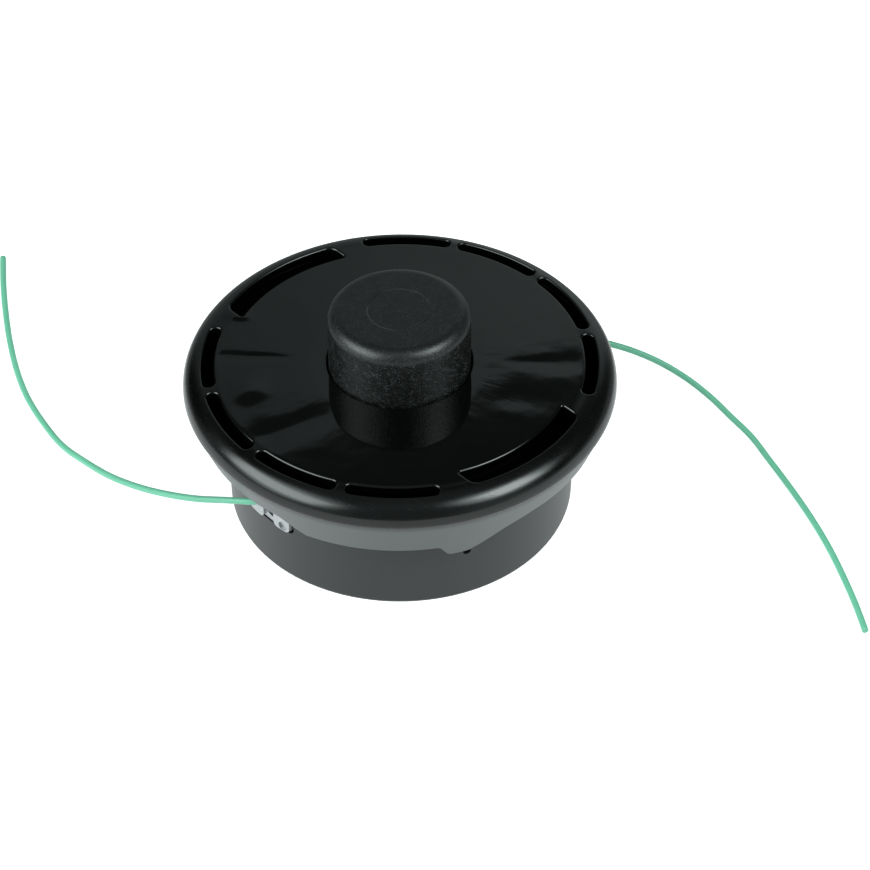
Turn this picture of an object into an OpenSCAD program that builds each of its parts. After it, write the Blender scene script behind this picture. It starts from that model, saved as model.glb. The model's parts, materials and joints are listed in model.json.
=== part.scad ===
// Two-line bump-feed trimmer head, shown knob up and gear side down, as it lies on a bench.
// The origin is the centre of the gear-side face, and +Z is the axis the head spins about.

/* [Drum] */
// Outer radius of the drum at the gear side
drum_r = 52.4; // [52:0.1:52.6]
// Radius gained by the drum's draft up to the flange
drum_draft = 0.8; // [0.4:0.1:1]
// Wall thickness of the drum at the gear side
drum_wall = 3.4; // [3:0.1:3.6]
// Thickness of the gear-side base
base_t = 3.4; // [3:0.1:3.6]
// Height of the flat top of the flange, where the cover sits
flange_z = 42.3; // [42:0.1:42.3]
// Radius of the flange at its top
flange_r = 64.6; // [64:0.1:64.9]

/* [Flared skirt] */
// Radius gained by the skirt for each millimetre of height
skirt_slope = 0.39; // [0.36:0.01:0.45]
// Wall thickness of the skirt
skirt_wall = 2; // [1.6:0.1:2.2]
// Height of the lowest lobes of the skirt
lobe_z = 22.7; // [21:0.1:24]
// Height of the raised stretch beside each lobe
ledge_z = 28; // [26:0.1:29]
// Height of the skirt's edge over each line outlet
outlet_edge_z = 33.6; // [32:0.1:35]
// Height of the skirt's edge between a lobe and the next outlet
side_edge_z = 32.3; // [30:0.1:33]
// Fall of the edge's slanting stretches for each millimetre sideways
edge_fall = 0.77; // [0.6:0.01:0.9]

/* [Line outlets] */
// Direction of the first outlet seen from above
outlet_az = 222.5; // [218:0.1:226]
// Height of the middle of an outlet
outlet_z = 25.1; // [24:0.1:26]
// Width of the window in the drum wall
window_w = 18.8; // [18:0.1:20]
// Height of the window
window_h = 13.6; // [12:0.1:14]
// Width of the slot that the line runs through
line_slot_w = 4.4; // [4:0.1:4.8]

/* [Cover] */
// Outer radius of the cover
cover_r = 65; // [65:0.1:66]
// Height of the cover's flat face
cover_z = 49.9; // [49.7:0.1:50.2]
// Radius of the rounded rim
rim_round = 7; // [6:0.1:7.2]
// Thickness of the flat face
cover_t = 2.8; // [2.4:0.1:3]
// Inner radius of the ring of slots
slot_r0 = 55.6; // [55:0.1:56]
// Outer radius of the ring of slots
slot_r1 = 59.2; // [58.6:0.1:59.4]
// Inner radius of the two long slots
long_slot_r0 = 52.1; // [52:0.1:53]
// Direction of the middle of the first long slot
long_slot_az = 132.2; // [130:0.1:134]
// Radius of the hole for the knob
knob_hole_r = 21.65; // [21.6:0.05:21.8]

/* [Bump knob] */
// Outer radius of the knob
knob_r = 21.3; // [21:0.05:21.3]
// Height of the knob's top
knob_z = 69.5; // [66:0.5:72]
// Rounding of the knob's top edge
knob_round = 4; // [3:0.1:4.5]
// Distance that the knob is pushed in
bump_travel = 6; // [5:0.1:6]

/* [Spool] */
// Outer radius of the spool's flanges
spool_r = 45.8; // [44:0.1:45.8]
// Outer radius of the spool's hub
spool_hub_r = 23.5; // [23:0.1:25]
// Thickness of the spool's flanges
spool_flange_t = 1.9; // [1.6:0.1:2]
// Outer radius that the wound line reaches
wound_r = 41.5; // [34:0.5:43]
// Diameter of the cutting line
line_d = 2; // [1.6:0.1:2.4]

/* [Feed clutch] */
// Number of teeth on each ring
clutch_n = 6; // [5:1:6]
// Width of each tooth, in degrees
clutch_w = 18; // [16:1:18]
// Inner radius of the teeth
clutch_r0 = 27; // [26.5:0.1:28]
// Outer radius of the teeth
clutch_r1 = 33; // [32:0.1:33.5]

/* [Spring] */
// Mean radius of the feed spring
spring_r = 17.3; // [17:0.1:17.6]
// Wire diameter of the feed spring
spring_wire = 2; // [1.6:0.1:2.1]
// Number of working turns between its closed ends
spring_turns = 2.5; // [2:0.5:3]

/* [Drive] */
// Radius of the threaded hole at its crests, an M10 fine thread
thread_r = 4.4; // [4:0.05:4.5]
// Width across the flats of the insert's hexagon
insert_flats = 19; // [18:0.5:19]
// Outer radius of the steel sleeve that the spool turns on
sleeve_r = 12; // [11.5:0.1:12]

/* [Hidden] */
$fn = 96;

drum_in = drum_r - drum_wall;
web_z = flange_z - 2.4;
hub_r = 10.5;
hub_top = 34;
insert_top = 28;
boss_r = 14;
boss_top = 8;
gap = 0.3;
clutch_step = 360 / clutch_n;

spool_z0 = 13.4;
spool_z1 = 25.4;
spool_z2 = 37.5;
spool_top = spool_z2 + spool_flange_t;
bore_r = sleeve_r + 0.05;
pocket_z = 22;
screw_web_z = 44;
screw_web_top = 47;

cover_under = cover_z - cover_t;
lug_w = 16;
lug_turn = 20;
lug_z0 = 37.9;
lug_z1 = 40.3;
LUG_AZ = [20, 110, 200, 290];

rib_n = 24;
eyelet_r = 53.9;

// Hand-laid routes of the two line tails, from inside the drum to the cut ends
TAIL_LEFT = [
  [-35.2, -32.8, 27.4], [-37.7, -34.7, 27.4], [-40.6, -36.1, 27.3], [-43.9, -36.2, 26.9],
  [-47.8, -35, 26.1], [-52.5, -33, 24.6], [-61.2, -28.8, 21.4], [-70.3, -23.3, 18.2],
  [-79.3, -16.4, 14.8], [-88.3, -8.1, 11.5], [-96.8, 2.2, 8], [-105.3, 13.5, 5], [-112.3, 26.3, 3],
  [-118.4, 39.6, 1.7], [-122.9, 53, 1.2], [-126.4, 67.3, 1.1], [-129, 81.7, 1.1],
  [-131.1, 96.5, 1.1], [-132.6, 111.9, 1.1]
];
TAIL_RIGHT = [
  [35.2, 32.8, 26], [37.5, 35, 26], [40.4, 37.1, 26], [44.9, 38.7, 25.7],
  [50.9, 39.2, 24.8], [58, 39.2, 23.6], [66.5, 38.4, 22], [75, 37, 19.5], [83.1, 34.6, 16.5],
  [90.6, 30.7, 13.5], [97.2, 25.8, 10.5], [103.2, 19.9, 7.5], [109.3, 13, 5], [113.9, 5, 3],
  [118.4, -3.9, 1.7], [122.5, -13.8, 1.2], [126.1, -24.2, 1.1], [129.2, -35.1, 1.1],
  [131.7, -46.1, 1.1], [133.8, -57, 1.1], [135.4, -67.9, 1.1]
];

function skirt_r(z) = flange_r - skirt_slope * (flange_z - z);

module ring(r0, r1, z0, z1) {
  translate([0, 0, z0]) difference() {
    cylinder(h = z1 - z0, r = r1);
    translate([0, 0, -1]) cylinder(h = z1 - z0 + 2, r = r0);
  }
}

module sector(r0, r1, z0, z1, a0, a1) {
  rotate([0, 0, a0]) rotate_extrude(angle = a1 - a0)
    translate([r0, z0]) square([r1 - r0, z1 - z0]);
}

// A block standing out along the given direction, drawn as a sideways and upright outline
module radial(az, r0, r1) {
  rotate([0, 0, az]) translate([r0, 0, 0]) rotate([90, 0, 90])
    linear_extrude(height = r1 - r0) children();
}

module rounded_plate(w, h, r) {
  for (x = [-1, 1], y = [-1, 1]) translate([x * (w / 2 - r), y * (h / 2 - r)]) circle(r = r, $fn = 32);
  square([w - 2 * r, h], center = true);
  square([w, h - 2 * r], center = true);
}

module twice() {
  children();
  rotate([0, 0, 180]) children();
}

// The parts cut off below the skirt's edge: a lobe is left after each step down from the ledge
module below_edge() {
  low = lobe_z - 2;
  radial(outlet_az - 177, 20, 75) polygon([
    [-50, low], [-50, outlet_edge_z], [8, outlet_edge_z], [9.6, outlet_edge_z - 0.4],
    [9.6 + (outlet_edge_z - 0.4 - low) / edge_fall, low]
  ]);
  radial(long_slot_az - 0.6, 20, 75) polygon([
    [-12.8 - (side_edge_z - 3.1 - low) / edge_fall, low], [-12.8, side_edge_z - 3.1],
    [-10, side_edge_z - 1.9], [-6.5, side_edge_z - 1], [-2, side_edge_z - 0.2],
    [3, side_edge_z], [50, side_edge_z], [50, low]
  ]);
  sector(drum_r + 1.2, flange_r, low, ledge_z, 60, 98.9);
  radial(102.1, 50, 72) polygon([
    [-4.4, low], [-4.4, ledge_z + 0.06], [-2.4, ledge_z + 0.06], [-1.6, ledge_z - 0.3], [-0.9, ledge_z - 1.1],
    [1, lobe_z + 0.9], [1.7, lobe_z + 0.2], [2.6, lobe_z - 0.2], [2.6, low]
  ]);
}

// The flared skirt hangs from the flange clear of the drum, with a lower edge of lobes and steps
module skirt() {
  difference() {
    rotate_extrude() polygon([
      [drum_r - 1, web_z], [skirt_r(web_z) - skirt_wall, web_z],
      [skirt_r(lobe_z) - skirt_wall, lobe_z], [skirt_r(lobe_z), lobe_z],
      [flange_r, flange_z], [drum_r - 1, flange_z]
    ]);
    twice() below_edge();
  }
}

module flange_ribs() {
  for (i = [0 : rib_n - 1]) rotate([0, 0, (i + 0.5) * 360 / rib_n]) rotate([90, 0, 0])
    translate([0, 0, -0.9]) linear_extrude(height = 1.8) polygon([
      [drum_r - 1, web_z + 1], [drum_r - 1, web_z - 3],
      [skirt_r(web_z - 3) - 1, web_z - 3], [skirt_r(web_z) - 1, web_z + 1]
    ]);
}

module drum() {
  rotate_extrude() polygon([
    [drum_in, base_t - 1], [drum_in, 0], [drum_r - 0.9, 0], [drum_r - 0.25, 0.25], [drum_r, 0.9],
    [drum_r + drum_draft, flange_z], [drum_in, flange_z]
  ]);
}

// The gear-side base: a flat foot ring, a sunk field with ribs, and the central boss
module base() {
  difference() {
    cylinder(h = base_t, r = drum_in + 0.5);
    ring(boss_r + 2, drum_in - 7, -1, base_t - 2);
  }
  for (i = [0 : 11]) rotate([0, 0, i * 30 + 15]) translate([boss_r, -1, 0.4])
    cube([drum_in - 7 - boss_r + 1, 2, base_t - 1]);
  cylinder(h = boss_top, r = boss_r);
  cylinder(h = hub_top, r = hub_r);
}

module insert_space() {
  translate([0, 0, -1]) cylinder(h = 8, r = insert_flats / 2 / cos(30), $fn = 6);
  cylinder(h = 40, r = 7.5);
}

module line_window(az) {
  radial(az, drum_in - 3, drum_r + 1.5) translate([0, outlet_z]) rounded_plate(window_w, window_h, 2);
}

module bayonet_grooves() {
  for (a = LUG_AZ) {
    sector(drum_in - 0.5, drum_in + 1.8, lug_z0 - gap, lug_z1 + gap, a - lug_turn - 1, a + lug_w + 0.5);
    sector(drum_in - 0.5, drum_in + 1.8, lug_z0, flange_z + 1, a - lug_turn - 1, a - lug_turn + lug_w + 1);
  }
}

module housing() {
  color([0.16, 0.17, 0.17]) difference() {
    union() {
      drum();
      base();
      skirt();
      flange_ribs();
    }
    insert_space();
    line_window(outlet_az);
    line_window(outlet_az - 180);
    bayonet_grooves();
    twice() radial(111.1, drum_in - 3, drum_r + 1.5) translate([0, 20]) rounded_plate(2.4, 6.4, 1);
  }
}

module drive_insert() {
  color([0.72, 0.71, 0.68]) difference() {
    union() {
      translate([0, 0, 0.4]) cylinder(h = 6.6, r = insert_flats / 2 / cos(30), $fn = 6);
      translate([0, 0, 6.5]) cylinder(h = insert_top - 6.5, r = 7.5);
    }
    translate([0, 0, -1]) cylinder(h = 40, r = thread_r);
    translate([0, 0, 0.3]) cylinder(h = 1.2, r1 = thread_r + 1.2, r2 = thread_r);
  }
}

module hub_sleeve() {
  color([0.6, 0.61, 0.62]) ring(hub_r, sleeve_r, boss_top, hub_top);
}

module clutch_teeth(z0, z1, start) {
  for (i = [0 : clutch_n - 1])
    sector(clutch_r0, clutch_r1, z0, z1, start + i * clutch_step, start + i * clutch_step + clutch_w);
}

module catch_ring() {
  color([0.75, 0.73, 0.68]) {
    ring(clutch_r0 - 2, clutch_r1 + 2, base_t, base_t + 1.2);
    clutch_teeth(base_t + 1, base_t + 3.6, -clutch_w / 2);
  }
}

module spring_cup() {
  color([0.66, 0.66, 0.64]) {
    ring(boss_r + 0.3, 21, base_t, base_t + 1);
    ring(20.1, 21, base_t + 0.5, base_t + 3.4);
  }
}

// An eyelet of light alloy: a flange behind the drum wall, a neck in the window, two ears outside
// and a round-edged slot for the line between the ears
module eyelet(az) {
  color([0.68, 0.68, 0.66]) difference() {
    union() {
      intersection() {
        ring(drum_in - 1.6, drum_in, 10, 40);
        radial(az, 40, 60) translate([0, outlet_z]) rounded_plate(window_w + 2.8, window_h + 2.8, 2.5);
      }
      intersection() {
        ring(drum_in - 0.8, drum_r, 10, 40);
        radial(az, 40, 60) translate([-0.2, outlet_z]) rounded_plate(window_w - 1.6, window_h - 0.6, 1.8);
      }
      intersection() {
        ring(drum_r - 0.5, eyelet_r, 10, 40);
        radial(az, 40, 60) {
          translate([-5.3, outlet_z]) rounded_plate(7, window_h - 2, 1.7);
          translate([5.7, outlet_z]) rounded_plate(6.2, window_h - 2, 1.7);
        }
      }
    }
    radial(az, 40, 60) translate([0.4, outlet_z + 0.4]) rounded_plate(line_slot_w, 10.4, 2.1);
    rotate([0, 0, az]) translate([eyelet_r - 0.9, 6.2, outlet_z - 4.1])
      rotate([0, 90, 0]) cylinder(h = 3, r = 1.5, $fn = 32);
  }
}

module eyelet_left() { eyelet(outlet_az); }

module eyelet_right() { eyelet(outlet_az - 180); }

function helix(t, z0, z1) = [
  spring_r * cos(360 * t * (spring_turns + 2)),
  spring_r * sin(360 * t * (spring_turns + 2)),
  z0 + spring_wire / 2 + (z1 - z0 - spring_wire) * spring_rise(t * (spring_turns + 2))
];

// Share of the rise after u turns: a closed turn at each end, an even pitch between
function spring_rise(u) = u < 0.9 ? u * 0.15
  : u > spring_turns + 1.1 ? 1 - (spring_turns + 2 - u) * 0.15
  : 0.135 + (u - 0.9) / (spring_turns + 0.2) * 0.73;

// A tube of the given radius swept along a list of points
module tube(points, r, sides) {
  n = len(points);
  rings = [for (i = [0 : n - 1])
    let (d = points[min(i + 1, n - 1)] - points[max(i - 1, 0)],
         t = d / norm(d),
         side = cross([0, 0, 1], t) / norm(cross([0, 0, 1], t)),
         up = cross(t, side))
    for (k = [0 : sides - 1])
      points[i] + r * (cos(360 * k / sides) * side + sin(360 * k / sides) * up)];
  walls = [for (i = [0 : n - 2], k = [0 : sides - 1])
    [i * sides + k, (i + 1) * sides + k, (i + 1) * sides + (k + 1) % sides, i * sides + (k + 1) % sides]];
  start = [[for (k = [0 : sides - 1]) k]];
  finish = [[for (k = [sides - 1 : -1 : 0]) (n - 1) * sides + k]];
  polyhedron(points = rings, faces = concat(start, walls, finish));
}

module feed_spring() {
  steps = 108;
  color([0.7, 0.71, 0.72])
    tube([for (i = [0 : steps]) helix(i / steps, base_t + 1, pocket_z - 1.1)], spring_wire / 2, 8);
}

module thrust_washer() {
  color([0.62, 0.63, 0.64]) ring(boss_r + 0.1, 20.4, pocket_z - 1.05, pocket_z - 0.05);
}

// A notch through a flange that holds the end of the line
module anchor_notches() {
  for (a = [30, 210]) rotate([0, 0, a]) {
    translate([spool_r - 4, 0, spool_z0 - 1]) cylinder(h = 30, r = 1.3, $fn = 32);
    translate([spool_r - 4, -1, spool_z0 - 1]) cube([6, 2, 30]);
  }
}

module spool_body() {
  rotate_extrude() polygon([
    [20.6, pocket_z], [20.6, spool_z0], [spool_r, spool_z0], [spool_r, spool_z0 + spool_flange_t],
    [spool_hub_r, spool_z0 + spool_flange_t], [spool_hub_r, spool_z1],
    [spool_r, spool_z1], [spool_r, spool_z1 + spool_flange_t], [spool_hub_r, spool_z1 + spool_flange_t],
    [spool_hub_r, spool_z2], [spool_r, spool_z2], [spool_r, spool_top], [20.8, spool_top],
    [20.8, pocket_z + 2.5], [boss_r, pocket_z + 2.5], [boss_r, screw_web_top], [3.2, screw_web_top],
    [3.2, screw_web_z], [bore_r, screw_web_z], [bore_r, spool_z0 + 1.8],
    [boss_r - 0.3, spool_z0 + 1.8], [boss_r - 0.3, pocket_z]
  ]);
}

module spool() {
  color([0.12, 0.12, 0.12]) difference() {
    union() {
      spool_body();
      clutch_teeth(spool_z0 - 2.4, spool_z0 + 0.5, 2);
      clutch_teeth(spool_top - 0.5, spool_top + 3.2, clutch_w / 2 + 0.5);
    }
    anchor_notches();
  }
}

// Wound line in one chamber: a ring whose outside shows the turns lying side by side
module wound_line(z0, z1) {
  turns = floor((z1 - z0) / line_d);
  pitch = (z1 - z0) / turns;
  rotate_extrude() {
    translate([spool_hub_r, z0]) square([wound_r - spool_hub_r, z1 - z0]);
    for (i = [0 : turns - 1]) intersection() {
      translate([wound_r, z0 + (i + 0.5) * pitch]) circle(d = line_d, $fn = 24);
      translate([wound_r - 0.5, z0]) square([3, z1 - z0]);
    }
  }
}

module line_coil_lower() {
  color([0.38, 0.75, 0.59]) wound_line(spool_z0 + spool_flange_t, spool_z1);
}

module line_coil_upper() {
  color([0.38, 0.75, 0.59]) wound_line(spool_z1 + spool_flange_t, spool_z2);
}

// The knob: a thick cup with a rounded top edge, a plug into the spool and ribs round its boss
module bump_knob() {
  seat = spool_top + 0.8;
  color([0.1, 0.1, 0.1]) difference() {
    union() {
      rotate_extrude() difference() {
        union() {
          translate([0, seat]) square([knob_r, knob_z - knob_round - seat]);
          square_top = knob_z - knob_round;
          translate([0, square_top - 1]) square([knob_r - knob_round, knob_round + 1]);
          intersection() {
            translate([knob_r - knob_round, square_top]) circle(r = knob_round);
            translate([knob_r - knob_round, square_top - 1]) square([9, 9]);
          }
          translate([18, 33]) square([2.6, seat - 33 + 1]);
        }
        translate([-1, 20]) square([19, knob_z - 4.5 - 20]);
      }
      ring(2.6, 7, screw_web_top, knob_z - 4);
      for (i = [0 : 5]) rotate([0, 0, i * 60 + 30]) translate([5, -0.8, screw_web_top + 4])
        cube([14, 1.6, knob_z - 4 - screw_web_top - 4]);
    }
    translate([0, 0, screw_web_top - 1]) cylinder(h = 14, r = 2.6);
    ring(9.25, 9.6, knob_z - 0.08, knob_z + 1);
  }
}

module knob_screw() {
  color([0.7, 0.71, 0.72]) difference() {
    union() {
      translate([0, 0, 40.4]) cylinder(h = 2.9, r = 4.8);
      translate([0, 0, 43]) cylinder(h = 16, r = 2.6);
    }
    translate([0, 0, 40]) cylinder(h = 2.4, r = 2.31, $fn = 6);
  }
}

module screw_washer() {
  color([0.66, 0.67, 0.68]) ring(3.1, 7, 43.3, screw_web_z);
}

module wedge(a0, a1) {
  polygon([[0, 0], [90 * cos(a0), 90 * sin(a0)], [90 * cos(a1), 90 * sin(a1)]]);
}

module band(r0, r1, a0, a1) {
  intersection() {
    difference() {
      circle(r = r1);
      circle(r = r0);
    }
    wedge(a0, a1);
  }
}

// Outline of a curved slot with round ends
module short_slot(a0, a1) {
  w = (slot_r1 - slot_r0) / 2;
  mid = slot_r0 + w;
  trim = w / mid * 180 / PI;
  band(slot_r0, slot_r1, a0 + trim, a1 - trim);
  for (a = [a0 + trim, a1 - trim]) rotate(a) translate([mid, 0]) circle(r = w + 0.1, $fn = 40);
}

// Outline of the wide slot: round outer corners, sharp inner corners, straight ends between
module long_slot(half) {
  r = 2.9;
  mid = slot_r1 - r;
  trim = r / mid * 180 / PI;
  band(long_slot_r0, slot_r1, trim - half, half - trim);
  band(long_slot_r0, mid, -half, half);
  for (s = [-1, 1]) rotate(s * (half - trim)) translate([mid, 0]) circle(r = r + 0.1, $fn = 40);
}

module cover_slots() {
  translate([0, 0, cover_under - 1]) linear_extrude(height = cover_t + 2)
    twice() rotate(long_slot_az) {
      long_slot(22.7);
      for (s = [-1, 1]) {
        first = s > 0 ? 31.4 : -58.5;
        second = s > 0 ? 61.4 : -88.5;
        short_slot(first, first + 27.2);
        short_slot(second, second + 27.2);
      }
    }
}

module cover_shell() {
  centre_r = cover_r - rim_round;
  centre_z = cover_z - rim_round;
  inner_round = 2.4;
  inner_r = cover_r - 2.4 - inner_round;
  rotate_extrude() difference() {
    union() {
      translate([knob_hole_r, centre_z]) square([centre_r - knob_hole_r, rim_round]);
      intersection() {
        translate([centre_r, centre_z]) circle(r = rim_round, $fn = 40);
        translate([centre_r, centre_z]) square([9, 9]);
      }
      translate([centre_r, flange_z + gap]) square([rim_round, centre_z - flange_z - gap]);
    }
    translate([0, 30]) square([inner_r, cover_under - 30]);
    intersection() {
      translate([inner_r, cover_under - inner_round]) circle(r = inner_round, $fn = 32);
      translate([inner_r, cover_under - inner_round]) square([9, 9]);
    }
    translate([inner_r - 1, 30]) square([inner_round + 1, cover_under - inner_round - 30]);
  }
}

module cover() {
  color([0.05, 0.05, 0.055]) {
    difference() {
      cover_shell();
      cover_slots();
    }
    ring(knob_hole_r, 24, 43, cover_under + 0.5);
    ring(34.2, 36, 42.6, cover_under + 0.5);
    ring(drum_in - 2.4, drum_in - gap, 37.6, cover_under + 0.5);
    for (a = LUG_AZ) sector(drum_in - 1, drum_in + 1.4, lug_z0, lug_z1, a, a + lug_w);
    for (i = [0 : 11]) rotate([0, 0, i * 30 + 15]) translate([35.5, -0.9, 43.5])
      cube([11.5, 1.8, cover_under - 43]);
  }
}

module index_ring() {
  color([0.75, 0.73, 0.68]) {
    ring(24.1, 34.1, 43.5, cover_under);
    clutch_teeth(39.9, 43.7, -clutch_w / 2);
  }
}

// A smooth curve through the route's points, two rings for each stretch
function curve_at(p, i, u) =
  let (a = p[max(i - 1, 0)], b = p[i], c = p[i + 1], d = p[min(i + 2, len(p) - 1)])
  0.5 * (2 * b + (c - a) * u + (2 * a - 5 * b + 4 * c - d) * u * u + (3 * b - a - 3 * c + d) * u * u * u);

function smooth(p, per) = concat(
  [for (i = [0 : len(p) - 2], k = [0 : per - 1]) curve_at(p, i, k / per)],
  [p[len(p) - 1]]
);

module line_tail_left() {
  color([0.38, 0.75, 0.59]) tube(smooth(TAIL_LEFT, 2), line_d / 2, 8);
}

module line_tail_right() {
  color([0.38, 0.75, 0.59]) tube(smooth(TAIL_RIGHT, 2), line_d / 2, 8);
}

housing();
drive_insert();
hub_sleeve();
catch_ring();
spring_cup();
eyelet_left();
eyelet_right();
feed_spring();
thrust_washer();
spool();
line_coil_lower();
line_coil_upper();
bump_knob();
knob_screw();
screw_washer();
cover();
index_ring();
line_tail_left();
line_tail_right();
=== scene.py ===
# %% [markdown]
# # Trimmer head
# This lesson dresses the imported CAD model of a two-line trimmer head, so that it looks like the
# one in the photograph. The CAD gives every size and place. The cells below add what a moulder, a
# machinist and a light would add: rounded slot mouths, grain, scuffs, gloss and reflections.
# Everything is in metres, and MM turns the maker's millimetres into them.

import json
from math import asin, cos, degrees, hypot, pi, radians, sin, sqrt

import bmesh
import bpy
from mathutils import Matrix, Vector
from mathutils.geometry import delaunay_2d_cdt


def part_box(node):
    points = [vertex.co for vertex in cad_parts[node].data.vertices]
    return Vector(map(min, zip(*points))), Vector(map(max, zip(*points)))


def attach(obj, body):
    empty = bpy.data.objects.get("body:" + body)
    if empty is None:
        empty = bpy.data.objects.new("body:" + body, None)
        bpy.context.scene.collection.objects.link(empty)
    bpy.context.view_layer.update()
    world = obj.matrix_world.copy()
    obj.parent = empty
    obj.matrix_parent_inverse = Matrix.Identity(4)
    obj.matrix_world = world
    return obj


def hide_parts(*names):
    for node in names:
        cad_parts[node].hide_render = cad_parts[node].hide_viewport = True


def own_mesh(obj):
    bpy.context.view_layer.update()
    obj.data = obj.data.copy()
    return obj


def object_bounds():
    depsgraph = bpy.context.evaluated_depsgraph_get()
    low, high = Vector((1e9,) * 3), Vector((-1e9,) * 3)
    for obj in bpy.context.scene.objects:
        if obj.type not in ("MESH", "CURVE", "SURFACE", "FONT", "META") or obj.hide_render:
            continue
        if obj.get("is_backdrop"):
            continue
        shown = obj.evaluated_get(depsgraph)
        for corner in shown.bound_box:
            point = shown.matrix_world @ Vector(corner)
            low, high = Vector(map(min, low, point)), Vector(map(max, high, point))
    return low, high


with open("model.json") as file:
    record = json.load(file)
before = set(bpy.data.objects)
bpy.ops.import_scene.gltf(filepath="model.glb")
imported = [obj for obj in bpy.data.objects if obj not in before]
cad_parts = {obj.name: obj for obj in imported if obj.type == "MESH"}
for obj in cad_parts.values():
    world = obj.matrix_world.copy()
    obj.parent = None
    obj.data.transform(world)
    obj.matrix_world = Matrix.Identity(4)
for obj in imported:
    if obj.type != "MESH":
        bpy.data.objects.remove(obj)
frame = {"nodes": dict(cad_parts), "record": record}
cad_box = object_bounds()
NODES = frame["nodes"]
MM = 0.001
scene = bpy.context.scene
scene.view_settings.view_transform = "Standard"


# %% A helper that puts a mesh into the scene
def place_in_scene(name, data):
    thing = bpy.data.objects.new(name, data)
    scene.collection.objects.link(thing)
    return thing


# %% [markdown]
# ## Camera
# The photograph was taken with a long lens, from 42 degrees above the bench. A camera can be
# placed by eye, but then every later comparison is a guess. These numbers come from a fit of the
# rim, the slots and the knob, so each of them lands within about a pixel of the photograph.

# %% Camera
CAMERA_PLACE = Vector((0, -693.77, 648.99)) * MM
CAMERA_AIM = Vector((10.435, 0, 19.447)) * MM
CAMERA_ROLL = radians(-0.229)
LENS, SENSOR = 127.08, 36
NEAREST, FARTHEST = 0.05, 50


def make_camera():
    data = bpy.data.cameras.new("camera")
    data.lens, data.sensor_width = LENS, SENSOR
    data.clip_start, data.clip_end = NEAREST, FARTHEST
    camera = place_in_scene("camera", data)
    forward = (CAMERA_AIM - CAMERA_PLACE).normalized()
    right = forward.cross(Vector((0, 0, 1))).normalized()
    up = right.cross(forward)
    across = right * cos(CAMERA_ROLL) + up * sin(CAMERA_ROLL)
    over = up * cos(CAMERA_ROLL) - right * sin(CAMERA_ROLL)
    turn = Matrix((across, over, -forward)).transposed()
    camera.matrix_world = Matrix.Translation(CAMERA_PLACE) @ turn.to_4x4()
    scene.camera = camera
    return camera


make_camera()
print("camera", round((CAMERA_PLACE - CAMERA_AIM).length, 3), "m away, lens", LENS, "mm")

# %% [markdown]
# ## The two line tails
# Nylon line remembers the spool, so each tail leaves its eyelet in one open curve and droops
# until it lies on the bench. Both ends are cut off square, as a used head's are. A curve with a
# bevel would do for the shape, but its box in Blender is far too large, so a tube is built around
# the path instead. The points are those of the CAD source, which has the same cord as a solid.

# %% The routes of the tails
LINE = 2.0 * MM
STEPS_PER_SPAN = 8
TAILS = {
    "line_tail_left": [
        (-35.2, -32.8, 27.4), (-37.7, -34.7, 27.4), (-40.6, -36.1, 27.3), (-43.9, -36.2, 26.9),
        (-47.8, -35, 26.1), (-52.5, -33, 24.6), (-61.2, -28.8, 21.4), (-70.3, -23.3, 18.2),
        (-79.3, -16.4, 14.8), (-88.3, -8.1, 11.5), (-96.8, 2.2, 8), (-105.3, 13.5, 5),
        (-112.3, 26.3, 3), (-118.4, 39.6, 1.7), (-122.9, 53, 1.2), (-126.4, 67.3, 1.1),
        (-129, 81.7, 1.1), (-131.1, 96.5, 1.1), (-132.6, 111.9, 1.1),
    ],
    "line_tail_right": [
        (35.2, 32.8, 26), (37.5, 35, 26), (40.4, 37.1, 26), (44.9, 38.7, 25.7),
        (50.9, 39.2, 24.8), (58, 39.2, 23.6), (66.5, 38.4, 22), (75, 37, 19.5),
        (83.1, 34.6, 16.5), (90.6, 30.7, 13.5), (97.2, 25.8, 10.5), (103.2, 19.9, 7.5),
        (109.3, 13, 5), (113.9, 5, 3), (118.4, -3.9, 1.7), (122.5, -13.8, 1.2),
        (126.1, -24.2, 1.1), (129.2, -35.1, 1.1), (131.7, -46.1, 1.1), (133.8, -57, 1.1),
        (135.4, -67.9, 1.1),
    ],
}


def smooth_path(points):
    """The same smooth curve through the points as in the CAD source, in metres."""
    p = [Vector(q) * MM for q in points]
    path = []
    for i in range(len(p) - 1):
        a, b, c, d = p[max(i - 1, 0)], p[i], p[i + 1], p[min(i + 2, len(p) - 1)]
        for k in range(STEPS_PER_SPAN):
            u = k / STEPS_PER_SPAN
            path.append(
                0.5 * (2 * b + (c - a) * u + (2 * a - 5 * b + 4 * c - d) * u * u
                       + (3 * b - a - 3 * c + d) * u * u * u)
            )
    return path + [p[-1]]


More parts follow.
